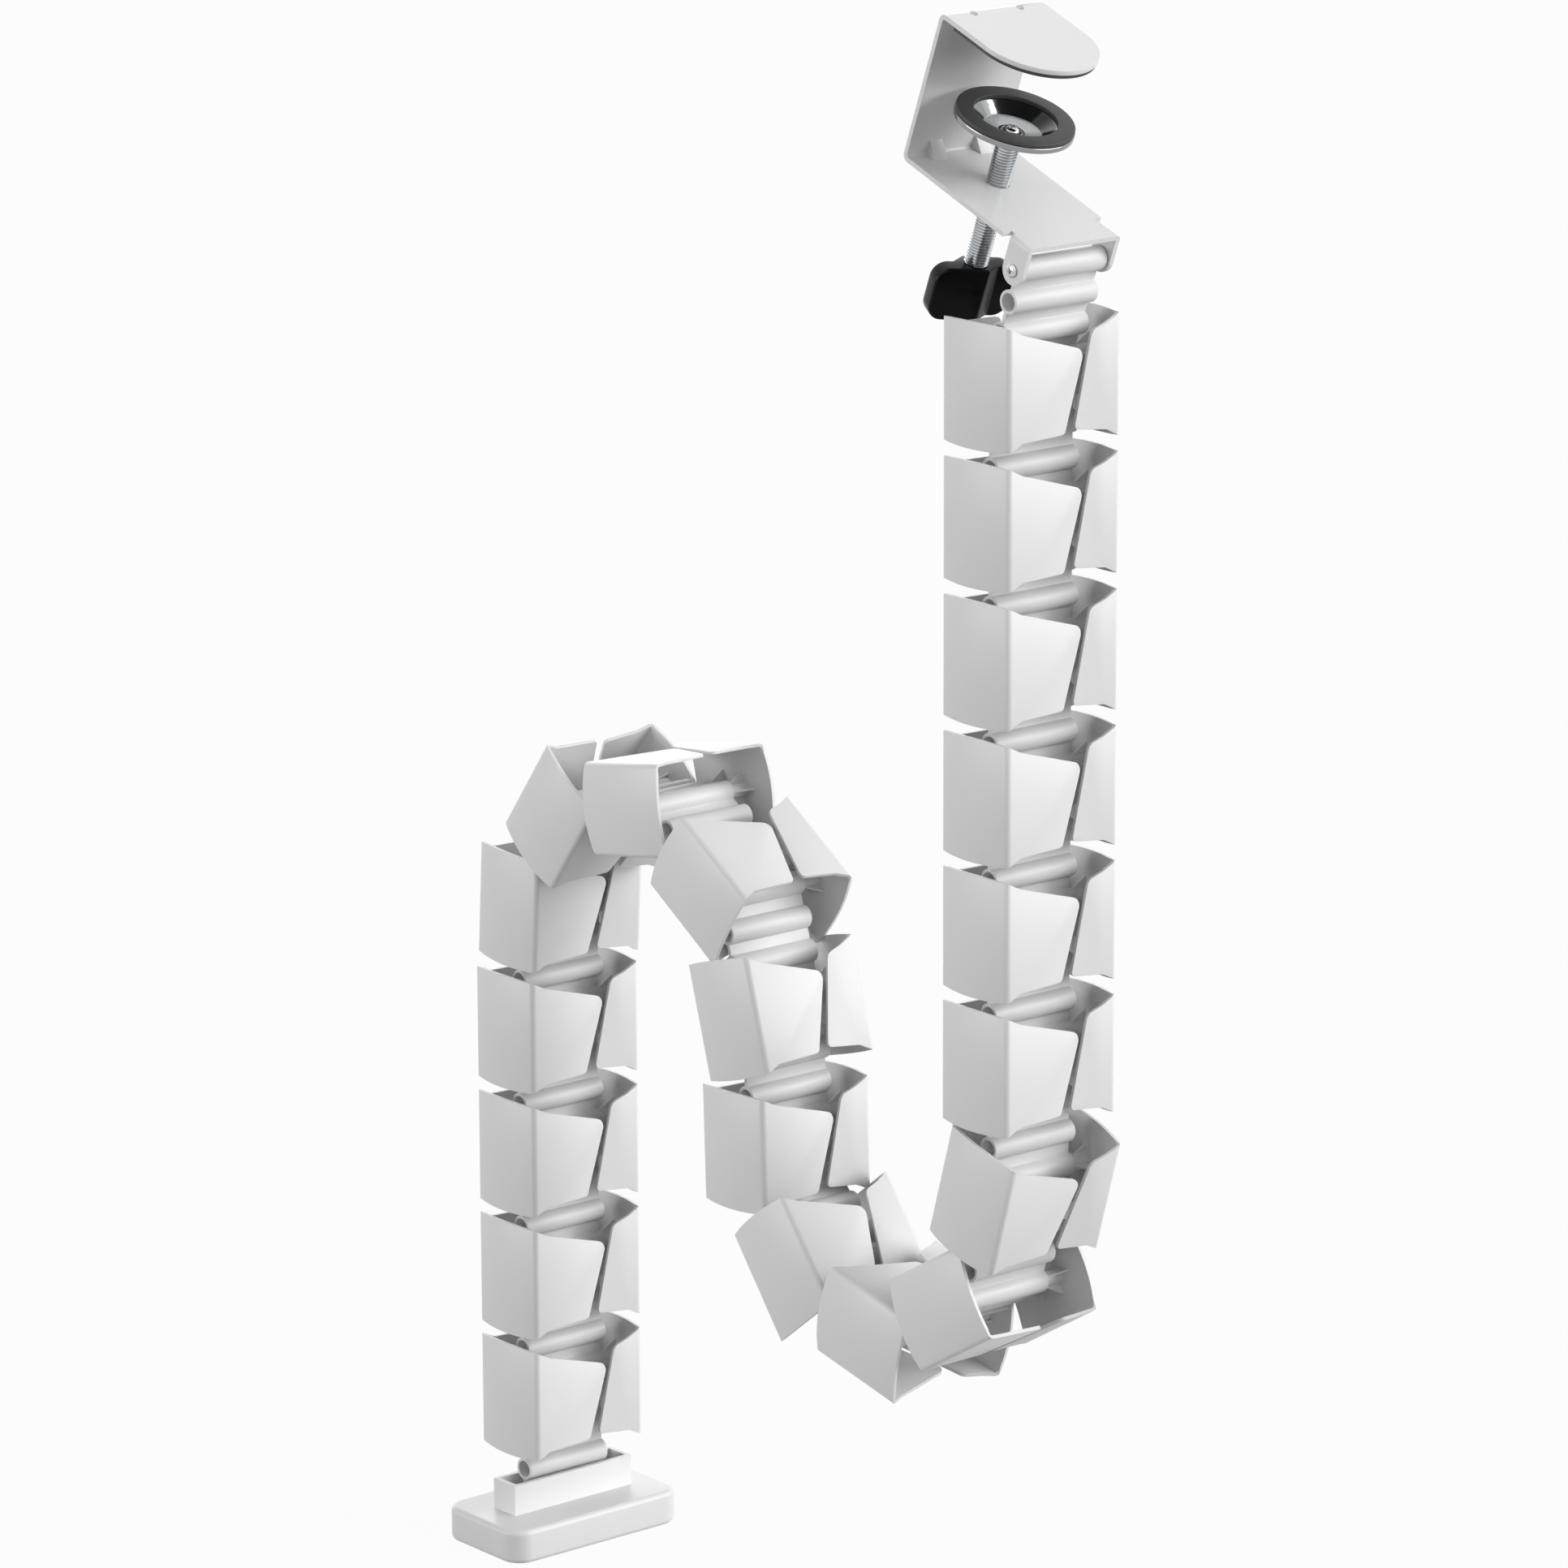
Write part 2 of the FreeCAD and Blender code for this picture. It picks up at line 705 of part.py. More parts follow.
# Foot, in its own frame: the last pivot at the origin
def foot():
    body = new_body("foot")
    length = size("foot_half_length")
    depth = size("foot_half_depth")
    corner = size("foot_corner_radius")
    sole = -size("foot_pin_height")
    deck = sole + "foot_height"
    plan = new_sketch(body, "foot_plan", "XY_Plane", sole)
    outline(plan, [(-length, -depth), (length, -depth), (length, depth), (-length, depth)])
    plate = pad(body, "foot_plate", plan, "foot_height")
    plate = fillet(body, "foot_corners", plate, corner, lambda e: straight_along(e, V(0, 0, 1)))
    plate = fillet(body, "foot_edges", plate, "foot_edge_radius", lambda e: near(middle(e).z, deck.value)
                   or near(middle(e).z, sole.value))
    long_half = size("socket_half_length")
    deep_half = size("socket_half_depth")
    wall = size("socket_wall")
    collar = new_sketch(body, "foot_collar_plan", "XY_Plane", deck - 1)
    outline(collar, [(-long_half, -deep_half), (long_half, -deep_half), (long_half, deep_half),
                     (-long_half, deep_half)])
    pad(body, "foot_collar", collar, size("socket_rise") + 1)
    well = new_sketch(body, "foot_well_plan", "XY_Plane", deck + "socket_rise" + 1)
    a = long_half - wall
    b = deep_half - wall
    outline(well, [(-a, -b), (a, -b), (a, b), (-a, b)])
    pocket(body, "foot_well", well, depth=deck + "socket_rise" + 1 + "tube_radius" + "socket_floor_gap")
    # a pin with an upright gusset at each end of the well
    base = long_half - wall / 2
    seat = size("tube_half_length") + "side_play"
    lip = pin_radius - 0.5
    for hand, word in ((-1, "left"), (1, "right")):
        pin = new_sketch(body, "foot_%s_pin_ring" % word, "YZ_Plane", tip * hand)
        ring(pin, 0, 0, pin_radius)
        pad(body, "foot_%s_pin" % word, pin, base - tip, reverse=hand < 0)
        web = new_sketch(body, "foot_%s_gusset_form" % word, "XZ_Plane")
        outline(web, [
            (seat * hand, lip),
            (base * hand, lip + "gusset_spread"),
            (base * hand, -size("tube_radius")),
            (seat * hand, -lip),
        ])
        pad(body, "foot_%s_gusset" % word, web, "gusset_thickness", both=True)
        flat = new_sketch(body, "foot_%s_rib_form" % word, "XY_Plane")
        outline(flat, [(seat * hand, lip), (base * hand, b + 0.5), (base * hand, -b - 0.5), (seat * hand, -lip)])
        pad(body, "foot_%s_rib" % word, flat, "gusset_thickness", both=True)
    return body


left_form = half_shell("left_half_form", -1, "wide_flap")
right_form = half_shell("right_half_form", 1, "narrow_flap")
link_form = link()
bracket = clamp_bracket()
pad_body = jaw_pad()
plate_body = pressure_plate()
spindle_body = spindle()
plate_screw_body = plate_screw()
knob_body = clamp_knob()
bush_form = ear_bush()
screw_form = ear_screw()
foot_body = foot()


def revolved_ring():
    return turned("pressure_ring", [
        (size("ring_inner_radius"), plate_rim + 0.02),
        (size("ring_outer_radius"), plate_rim + 0.02),
        (size("ring_outer_radius"), size("ring_top")),
        (size("ring_inner_radius"), size("ring_top")),
    ])


ring_body = revolved_ring()
doc.recompute()

# Poses of the pieces: the chain is laid out from the foot's pin upward, in the plane of X = 0
segment = (link_reach + "pin_spacing").value


def tilt(degrees, y, z):
    return FreeCAD.Placement(V(0, y, z), FreeCAD.Rotation(V(1, 0, 0), degrees))


def along(degrees):
    """Unit vector down the chain at a lean."""
    lean = math.radians(degrees)
    return V(0, math.sin(lean), -math.cos(lean))


leans = [getattr(sheet, "lean_%02d" % n) for n in range(len(LEANS))]
count = len(leans) - 1
low_pin = V(0, 0, sheet.foot_pin_height)
upper_pins = {}
at = low_pin
for n in range(count, 0, -1):
    at = at - along(leans[n]) * segment
    upper_pins[n] = at
ear_pivot = upper_pins[1] - along(leans[0]) * link_reach.value

parts = []


def place_copy(name, shapes, placement):
    feature = doc.addObject("Part::Feature", name)
    feature.Label = name
    shape = shapes[0] if len(shapes) == 1 else Part.makeCompound(shapes)
    feature.Shape = shape
    feature.Placement = placement
    parts.append(feature)


halves = [left_form.Shape.copy(), right_form.Shape.copy()]
place_copy("link_00", [link_form.Shape.copy()], tilt(leans[0], ear_pivot.y, ear_pivot.z))
for n in range(1, count + 1):
    down = along(leans[n])
    middle_at = upper_pins[n] + down * (sheet.pin_spacing / 2)
    place_copy("vertebra_%02d" % n, [h.copy() for h in halves], tilt(leans[n], middle_at.y, middle_at.z))
    low = upper_pins[n] + down * sheet.pin_spacing
    place_copy("link_%02d" % n, [link_form.Shape.copy()], tilt(leans[n], low.y, low.z))

clamp_place = tilt(leans[0], ear_pivot.y, ear_pivot.z)
for body in (bracket, pad_body):
    body.Placement = clamp_place
    parts.append(body)
stem = clamp_place.multVec(V(0, sheet.spindle_offset, 0))
for body in (plate_body, ring_body, spindle_body, plate_screw_body):
    body.Placement = tilt(leans[0], stem.y, stem.z)
    parts.append(body)
knob_body.Placement = FreeCAD.Placement(stem, FreeCAD.Rotation(V(1, 0, 0), leans[0]).multiply(
    FreeCAD.Rotation(V(0, 0, 1), sheet.knob_turn)))
parts.append(knob_body)
for name, form in (("ear_bushes", bush_form), ("ear_screws", screw_form)):
    other = form.Shape.mirror(V(0, 0, 0), V(1, 0, 0))
    place_copy(name, [form.Shape.copy(), other], clamp_place)
foot_body.Placement = FreeCAD.Placement(low_pin, FreeCAD.Rotation())
parts.append(foot_body)
doc.recompute()

for item in doc.Objects:
    if "Invalid" in item.State or "Error" in item.State:
        raise ValueError("%s is %s" % (item.Name, item.State))
for item in parts:
    if item.Shape.isNull() or not item.Shape.isValid():
        raise ValueError("%s has no valid shape" % item.Label)

os.makedirs("parts", exist_ok=True)
for item in parts:
    item.Shape.exportStep("parts/%s.step" % item.Label)
print("pieces", len(parts), "upper pin", upper_pins[1], "ear pivot", ear_pivot)
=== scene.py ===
import math

import bmesh
import bpy
from mathutils import Matrix, Vector


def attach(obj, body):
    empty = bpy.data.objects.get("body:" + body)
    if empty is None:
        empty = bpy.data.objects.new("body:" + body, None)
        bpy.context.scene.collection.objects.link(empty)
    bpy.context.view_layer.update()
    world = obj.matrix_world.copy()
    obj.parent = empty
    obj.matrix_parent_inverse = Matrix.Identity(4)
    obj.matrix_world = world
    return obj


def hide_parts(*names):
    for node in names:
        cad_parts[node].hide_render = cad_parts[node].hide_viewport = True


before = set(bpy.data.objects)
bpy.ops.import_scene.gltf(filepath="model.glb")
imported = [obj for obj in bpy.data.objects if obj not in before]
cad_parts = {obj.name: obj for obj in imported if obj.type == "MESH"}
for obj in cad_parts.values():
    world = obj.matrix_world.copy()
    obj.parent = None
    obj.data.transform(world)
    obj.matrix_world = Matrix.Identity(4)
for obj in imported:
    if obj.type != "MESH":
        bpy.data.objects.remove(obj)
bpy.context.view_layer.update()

# Sizes in millimetres and angles in degrees, the same as in the part's source
MM = 0.001
SEGMENT = 56.0
PIN_SPACING = 12.2
LINK_REACH = 43.8
FOOT_PIN = 18.2
LEANS = [21.0, 0.0, 0.0, 0.0, 0.0, 0.0, 0.0, 16.5, 59.5, 102.5, 142.0,
         178.0, 163.5, 122.5, 80.5, 36.5, 3.5, 0.0, 0.0, 0.0, 0.0]
LAST = len(LEANS) - 1
JAW_BACK = 73.0
JAW_TOP = 76.0
ARM_UNDERSIDE = 10.7
RIB_PLACE = 12.0
EAR_FACE = 23.8
SPINDLE_OFFSET = 43.6
RING_TOP = 42.8
RING_THICKNESS = 1.8
RING_INNER = 17.0
RING_OUTER = 24.2
PLATE_DEPTH = 5.6
PLATE_SHEET = 1.4
PLATE_HOLE = 1.95
PLATE_OUTER = 24.5
PLATE_RIM_HEIGHT = 2.3
PLATE_FLOOR_RISE = 1.2
ROD_CREST = 4.9
ROD_ROOT = 4.28
ROD_PITCH = 1.25
ROD_LOW = -29.8
KNOB_TURN = -18.0
KNOB_TOP = -23.8
KNOB_TALL = 23.2
KNOB_REACH = 18.3
KNOB_HALF_DEPTH = 6.1
KNOB_WAIST = 3.9
KNOB_WING = 7.2
KNOB_DRAFT = 0.2
KNOB_WING_START = 9.7
KNOB_TIP_RADIUS = 6.4


def along(lean):
    """The way down the chain at this lean."""
    a = math.radians(lean)
    return Vector((0.0, math.sin(a), -math.cos(a)))


def tilt(at, lean):
    """The place of a piece with its origin at a point in millimetres, leaned about X."""
    return Matrix.Translation(at * MM) @ Matrix.Rotation(math.radians(lean), 4, "X")


upper_pin = {}
at = Vector((0.0, 0.0, FOOT_PIN))
for n in range(LAST, 0, -1):
    at = at - along(LEANS[n]) * SEGMENT
    upper_pin[n] = at
ear_pivot = upper_pin[1] - along(LEANS[0]) * LINK_REACH
clamp_place = tilt(ear_pivot, LEANS[0])
stem_place = clamp_place @ Matrix.Translation((0.0, SPINDLE_OFFSET * MM, 0.0))
foot_place = tilt(Vector((0, 0, FOOT_PIN)), 0.0)


# Camera, fitted to the pivots and folds in the photograph
def look_from(position, right, up, back):
    return Matrix((
        (right[0], up[0], back[0], position[0]),
        (right[1], up[1], back[1], position[1]),
        (right[2], up[2], back[2], position[2]),
        (0, 0, 0, 1),
    ))


camera_data = bpy.data.cameras.new("camera")
camera_data.sensor_width = 36.0
camera_data.lens = 173.54
camera_data.clip_end = 100.0
camera = bpy.data.objects.new("camera", camera_data)
bpy.context.collection.objects.link(camera)
camera.matrix_world = look_from((-1.9441, -2.5091, 1.1510), (0.7703, -0.6377, -0.0038),
                                (0.1606, 0.1882, 0.9689), (-0.6171, -0.7470, 0.2474))
bpy.context.scene.camera = camera
bpy.context.scene.view_settings.view_transform = "Standard"


# Lamps
def sun_lamp(name, towards, strength, spread):
    """A far soft lamp; towards points from the object to the lamp, spread is in degrees."""
    data = bpy.data.lights.new(name, "SUN")
    data.energy = strength
    data.angle = math.radians(spread)
    lamp = bpy.data.objects.new(name, data)
    bpy.context.collection.objects.link(lamp)
    lamp.location = Vector(towards) * 3.0
    lamp.rotation_euler = Vector(towards).to_track_quat("Z", "Y").to_euler()


sun_lamp("key_lamp", (0.56, -0.79, 0.24), 3.15, 52)
sun_lamp("side_lamp", (-0.90, 0.42, 0.06), 2.15, 40)
sun_lamp("top_lamp", (0.0, -0.35, 0.94), 1.15, 120)
sun_lamp("back_lamp", (0.45, 0.86, 0.20), 1.2, 50)


# World: dim light on the object, and a white background for the eye, for gloss and for glass
def background_rays(tree):
    """1 for the rays that are shown the background, 0 for the rays that light the object."""
    path = tree.nodes.new("ShaderNodeLightPath")
    shown = path.outputs["Is Camera Ray"]
    for kind in ("Is Transmission Ray", "Is Glossy Ray"):
        either = tree.nodes.new("ShaderNodeMath")
        either.operation = "MAXIMUM"
        tree.links.new(shown, either.inputs[0])
        tree.links.new(path.outputs[kind], either.inputs[1])
        shown = either.outputs[0]
    return shown


def white_background(tree, strength):
    node = tree.nodes.new("ShaderNodeBackground")
    node.inputs["Color"].default_value = (1, 1, 1, 1)
    node.inputs["Strength"].default_value = strength
    return node.outputs[0]


world = bpy.data.worlds.new("studio")
bpy.context.scene.world = world
world.use_nodes = True
tree = world.node_tree
tree.nodes.clear()
mix = tree.nodes.new("ShaderNodeMixShader")
tree.links.new(background_rays(tree), mix.inputs[0])
tree.links.new(white_background(tree, 0.12), mix.inputs[1])
tree.links.new(white_background(tree, 1.0), mix.inputs[2])
out = tree.nodes.new("ShaderNodeOutputWorld")
tree.links.new(mix.outputs[0], out.inputs["Surface"])


# Materials
def nodes_of(name):
    material = bpy.data.materials.new(name)
    material.use_nodes = True
    tree = material.node_tree
    return material, tree, tree.nodes["Principled BSDF"]


def noise(tree, scale, detail=3.0):
    coords = tree.nodes.new("ShaderNodeTexCoord")
    node = tree.nodes.new("ShaderNodeTexNoise")
    node.inputs["Scale"].default_value = scale
    node.inputs["Detail"].default_value = detail
    tree.links.new(coords.outputs["Object"], node.inputs["Vector"])
    return node.outputs["Fac"]


def spread_over(tree, value, low, high):
    """Turns the noise's middle range into low to high."""
    node = tree.nodes.new("ShaderNodeMapRange")
    node.inputs["From Min"].default_value = 0.3
    node.inputs["From Max"].default_value = 0.7
    node.inputs["To Min"].default_value = low
    node.inputs["To Max"].default_value = high
    tree.links.new(value, node.inputs["Value"])
    return node.outputs["Result"]


def blend_colours(tree, value, a, b):
    node = tree.nodes.new("ShaderNodeMix")
    node.data_type = "RGBA"
    node.inputs[6].default_value = (*a, 1)
    node.inputs[7].default_value = (*b, 1)
    tree.links.new(value, node.inputs[0])
    return node.outputs[2]


def add_bump(tree, shader, heights):
    """Stacks bumps: each is (value, strength, distance in metres)."""
    normal = None
    for value, strength, distance in heights:
        node = tree.nodes.new("ShaderNodeBump")
        node.inputs["Strength"].default_value = strength
        node.inputs["Distance"].default_value = distance
        tree.links.new(value, node.inputs["Height"])
        if normal:
            tree.links.new(normal, node.inputs["Normal"])
        normal = node.outputs["Normal"]
    tree.links.new(normal, shader.inputs["Normal"])


def surface(name, low, high, rough, patch, grain, depth, metal=0.0, specular=0.5):
    """Colour wanders between low and high over patches, roughness over a fine grain that also bumps."""
    material, tree, shader = nodes_of(name)
    wide = noise(tree, patch, 4.0)
    tree.links.new(blend_colours(tree, wide, low, high), shader.inputs["Base Color"])
    fine = noise(tree, grain, 2.0)
    tree.links.new(spread_over(tree, fine, *rough), shader.inputs["Roughness"])
    shader.inputs["Metallic"].default_value = metal
    shader.inputs["Specular IOR Level"].default_value = specular
    add_bump(tree, shader, [(fine, 0.35, depth), (wide, 0.2, depth * 2)])
    return material


def grey(level):
    return (level, level, level)


shell_plastic = surface("satin_white_plastic", grey(0.70), grey(0.73), (0.36, 0.46), 45, 1900, 0.00004)
link_plastic = surface("link_white_plastic", grey(0.68), grey(0.72), (0.40, 0.50), 60, 1500, 0.00004)
paint = surface("satin_white_paint", grey(0.71), grey(0.74), (0.30, 0.38), 30, 900, 0.00005)
rubber = surface("dark_rubber", (0.036, 0.036, 0.038), (0.054, 0.054, 0.056), (0.50, 0.66), 80, 2200,
                 0.00008, specular=0.4)
zinc = surface("bright_zinc", (0.46, 0.475, 0.49), (0.60, 0.615, 0.63), (0.10, 0.18), 120, 1600,
               0.00003, metal=1.0)
# The dish: the same zinc as the rod, with its colour painted darker to stand in for the dark reflections
# the dish shows. This is painted reflection, not a finish of its own.
dish_zinc_painted_dark = surface("zinc_painted_dark_for_reflection", (0.24, 0.245, 0.25), (0.33, 0.335, 0.34), (0.08, 0.15), 90, 1300,
                    0.00003, metal=1.0)
gloss_black = surface("gloss_black_plastic", grey(0.0015), grey(0.003), (0.16, 0.24), 60, 700,
                      0.00004, specular=0.15)


# Ways to make a piece
def dress(node, material):
    """Gives a solid of the part its material."""
    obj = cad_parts[node]
    obj.data.materials.clear()
    obj.data.materials.append(material)


def new_object(name, form, material, body, place):
    """A piece made from a form in its own frame: the place goes into its mesh."""
    mesh = form.copy()
    mesh.name = name + "_mesh"
    mesh.transform(place)
    mesh.materials.clear()
    mesh.materials.append(material)
    obj = bpy.data.objects.new(name, mesh)
    bpy.context.collection.objects.link(obj)
    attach(obj, body)
    return obj


def smooth(mesh, angle):
    """Smooth faces, with edges steeper than the angle kept sharp."""
    for face in mesh.polygons:
        face.use_smooth = True
    mesh.set_sharp_from_angle(angle=math.radians(angle))


def finished(bm, name, angle):
    """The mesh of a built form."""
    mesh = bpy.data.meshes.new(name)
    bm.to_mesh(mesh)
    bm.free()
    smooth(mesh, angle)
    return mesh


def circle(bm, radius, height, steps):
    """Points round Z, radius and height in millimetres."""
    points = []
    for k in range(steps):
        a = 2 * math.pi * k / steps
        points.append(bm.verts.new((radius * MM * math.cos(a), radius * MM * math.sin(a), height * MM)))
    return points


def band(bm, lower, upper):
    """Faces between two closed rows of points."""
    for k in range(len(lower)):
        j = (k + 1) % len(lower)
        bm.faces.new((lower[k], lower[j], upper[j], upper[k]))


def edges_sharper_than(bm, angle):
    bm.normal_update()
    limit = math.radians(angle)
    return [e for e in bm.edges if len(e.link_faces) == 2 and e.calc_face_angle(0.0) > limit]


def round_off(bm, edges, width, segments):
    bmesh.ops.bevel(bm, geom=edges, offset=width * MM, offset_type="OFFSET", segments=segments,
                    profile=0.5, affect="EDGES", clamp_overlap=True)


def softened(node, place, width):
    """The node's own form in its local frame, in metres, with its sharp edges rounded off."""
    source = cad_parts[node]
    bm = bmesh.new()
    bm.from_mesh(source.data)
    bm.transform(place.inverted() @ source.matrix_world)
    bmesh.ops.remove_doubles(bm, verts=bm.verts, dist=2e-6)
    bmesh.ops.dissolve_degenerate(bm, dist=1e-6, edges=bm.edges)
    round_off(bm, edges_sharper_than(bm, 38), width, 2)
    return finished(bm, node + "_soft", 40)


def carved(name, form, cutter_form, angle):
    """The form with the cutter's form taken out of it."""
    body = bpy.data.objects.new(name + "_body", form)
    cutter = bpy.data.objects.new(name + "_cutter", cutter_form)
    bpy.context.collection.objects.link(body)
    bpy.context.collection.objects.link(cutter)
    cut = body.modifiers.new("cut", "BOOLEAN")
    cut.operation = "DIFFERENCE"
    cut.solver = "EXACT"
    cut.use_self = True
    cut.object = cutter
    bpy.context.view_layer.update()
    seen = body.evaluated_get(bpy.context.evaluated_depsgraph_get())
    result = bpy.data.meshes.new_from_object(seen)
    bpy.data.objects.remove(body)
    bpy.data.objects.remove(cutter)
    result.name = name + "_mesh"
    smooth(result, angle)
    return result


def turned(name, profile, steps=96):
    """A closed ring from a closed profile of (radius, height) in millimetres."""
    bm = bmesh.new()
    rings = [circle(bm, radius, height, steps) for radius, height in profile]
    for lower, upper in zip(rings, rings[1:]):
        band(bm, lower, upper)
    bmesh.ops.recalc_face_normals(bm, faces=bm.faces)
    return finished(bm, name, 30)


def rounded(points, radius, steps=4):
    """Rounds the inner corners of an open profile, each over less than half of the edges beside it."""
    result = [points[0]]
    for a, b, c in zip(points, points[1:], points[2:]):
        a, b, c = Vector(a), Vector(b), Vector(c)
        u, v = a - b, c - b
        reach = min(radius, u.length * 0.45, v.length * 0.45)
        start = b + u.normalized() * reach
        end = b + v.normalized() * reach
        for k in range(steps + 1):
            t = k / steps
            p = start * (1 - t) ** 2 + b * 2 * t * (1 - t) + end * t ** 2
            result.append((p.x, p.y))
    result.append(points[-1])
    return result


# Vertebrae and links: one softened form each, set out along the chain
vertebra_place = {}
link_place = {0: clamp_place}
for n in range(1, LAST + 1):
    vertebra_place[n] = tilt(upper_pin[n] + along(LEANS[n]) * (PIN_SPACING / 2), LEANS[n])
    link_place[n] = tilt(upper_pin[n] + along(LEANS[n]) * PIN_SPACING, LEANS[n])
vertebra_form = softened("vertebra_20", vertebra_place[LAST], 0.32)
link_form = softened("link_20", link_place[LAST], 0.25)
for n in range(0, LAST + 1):
    link = new_object("link_piece_%02d" % n, link_form, link_plastic, "link_%02d" % n, link_place[n])
    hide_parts("link_%02d" % n)
    if n:
        shell = new_object("vertebra_piece_%02d" % n, vertebra_form, shell_plastic, "vertebra_%02d" % n,
                           vertebra_place[n])
        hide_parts("vertebra_%02d" % n)

# Bracket: its own form with rounded edges, and on its bends the dents behind the pressed ribs
DENT_RADIUS = 1.9
DENT_REACH = 3.4
DENT_LENGTH = 14
dents = bmesh.new()
for level, inward in ((JAW_TOP, -1), (ARM_UNDERSIDE, 1)):
    for side in (-1, 1):
        middle = Vector((RIB_PLACE * side, JAW_BACK - DENT_REACH / 2, level + inward * DENT_REACH / 2)) * MM
        aim = Matrix.Translation(middle) @ Matrix.Rotation(math.radians(-45 * inward), 4, "X")
        bmesh.ops.create_cone(dents, cap_ends=True, segments=40, radius1=DENT_RADIUS * MM,
                              radius2=DENT_RADIUS * MM, depth=DENT_LENGTH * MM, matrix=aim)
bent_sheet = softened("clamp_bracket", clamp_place, 0.4)
bracket_form = carved("bracket", bent_sheet, finished(dents, "dents", 30), 40)
for face in bracket_form.polygons:
    lies_in_a_sheet = max(abs(v) for v in face.normal) > 0.99995
    if lies_in_a_sheet:
        face.use_smooth = False
bracket = new_object("bracket_piece", bracket_form, paint, "clamp", clamp_place)
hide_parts("clamp_bracket")

# Foot
base = new_object("foot_piece", softened("foot", foot_place, 0.4), shell_plastic, "foot", foot_place)
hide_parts("foot")

dress("jaw_pad", rubber)
dress("ear_bushes", link_plastic)

# Pressure plate and ring
rim = RING_TOP - RING_THICKNESS
plate_floor = rim - PLATE_DEPTH
plate_under = plate_floor - PLATE_SHEET
dish_profile = rounded([
    (PLATE_HOLE, plate_under),
    (5.1, plate_under),
    (12.7, plate_under + PLATE_FLOOR_RISE),
    (17.7, rim - PLATE_SHEET),
    (23.1, rim - PLATE_SHEET),
    (23.2, rim - PLATE_RIM_HEIGHT),
    (PLATE_OUTER, rim - PLATE_RIM_HEIGHT),
    (PLATE_OUTER, rim),
    (RING_INNER, rim),
    (12.0, plate_floor + PLATE_FLOOR_RISE),
    (5.2, plate_floor + 0.1),
    (4.5, plate_floor + 0.6),
    (3.9, plate_floor + 0.6),
    (3.5, plate_floor),
    (PLATE_HOLE, plate_floor),
    (PLATE_HOLE, plate_under),
], 0.45)
# The dish gets the zinc whose colour is painted darker as a painted dark reflection.
dish = new_object("dish_piece", turned("dish_mesh", dish_profile), dish_zinc_painted_dark, "pressure_foot", stem_place)
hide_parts("pressure_plate")

ring_seat = rim + 0.02
ring_profile = rounded([
    (RING_INNER, rim + RING_THICKNESS / 2),
    (RING_INNER, ring_seat),
    (RING_OUTER, ring_seat),
    (RING_OUTER, RING_TOP),
    (RING_INNER, RING_TOP),
    (RING_INNER, rim + RING_THICKNESS / 2),
], 0.5)
washer = new_object("ring_piece", turned("ring_mesh", ring_profile), rubber, "pressure_foot", stem_place)
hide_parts("pressure_ring")


# Spindle
def thread(name, crest, root, pitch, bottom, top, steps=28):
    """A rod with a real helical thread that runs out at both ends, over a plain core."""
    bm = bmesh.new()
    tooth = ((0.0, root), (0.22, root), (0.5, crest), (0.64, crest), (0.92, root))
    run_out = 0.9
    rows = []
    total = int((top - bottom) / pitch * steps)
    for i in range(total + 1):
        a = 2 * math.pi * i / steps
        row = []
        for share, radius in tooth:
            z = bottom + pitch * (i / steps - 1 + share)
            z = min(max(z, bottom), top)
            from_end = min(z - bottom, top - z)
            r = min(radius, root + max(0.0, from_end) * run_out)
            row.append(bm.verts.new((r * MM * math.cos(a), r * MM * math.sin(a), z * MM)))
        rows.append(row)
    for i in range(total):
        for k in range(len(tooth) - 1):
            bm.faces.new((rows[i][k], rows[i + 1][k], rows[i + 1][k + 1], rows[i][k + 1]))
        j = i + steps
        if j + 1 <= total:
            bm.faces.new((rows[i][-1], rows[i + 1][-1], rows[j + 1][0], rows[j][0]))
    low_end = circle(bm, root - 0.02, bottom, steps)
    high_end = circle(bm, root - 0.02, top, steps)
    band(bm, low_end, high_end)
    bm.faces.new(list(reversed(low_end)))
    bm.faces.new(high_end)
    bmesh.ops.recalc_face_normals(bm, faces=bm.faces)
    return finished(bm, name, 35)


rod_form = thread("rod_mesh", ROD_CREST, ROD_ROOT, ROD_PITCH, ROD_LOW, plate_under - 0.05)
rod = new_object("rod_piece", rod_form, zinc, "spindle", stem_place)
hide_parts("clamp_spindle")


# Screws
def pan_head(name, radius, height, shank, length, recess):
    """A pan head screw with a cross recess, its head's underside at zero and its head upward."""
    bm = bmesh.new()
    crown = 0.28
    shoulder = 0.35
    profile = [(shank, -length), (shank, 0), (radius * 0.97, 0), (radius, height * 0.12),
               (radius, height * shoulder)]
    for k in range(1, 9):
        a = math.pi / 2 * k / 8
        profile.append((radius * (crown + (1 - crown) * math.cos(a)),
                        height * (shoulder + (1 - shoulder) * math.sin(a))))
    rings = [circle(bm, r, z, 48) for r, z in profile]
    for lower, upper in zip(rings, rings[1:]):
        band(bm, lower, upper)
    bm.faces.new(list(reversed(rings[0])))
    bm.faces.new(rings[-1])
    bmesh.ops.recalc_face_normals(bm, faces=bm.faces)
    screw_form = finished(bm, name, 28)
    bm = bmesh.new()
    slot = recess * 0.34
    deep = height * 1.4
    for length_x, length_y in ((recess, slot), (slot, recess)):
        for v in bmesh.ops.create_cube(bm, size=1.0)["verts"]:
            taper = 1.0 if v.co.z > 0 else 0.45
            v.co = Vector((v.co.x * length_x * taper, v.co.y * length_y * taper,
                           v.co.z * deep + height * 0.98)) * MM
    return carved(name, screw_form, finished(bm, name + "_cross", 28), 28)


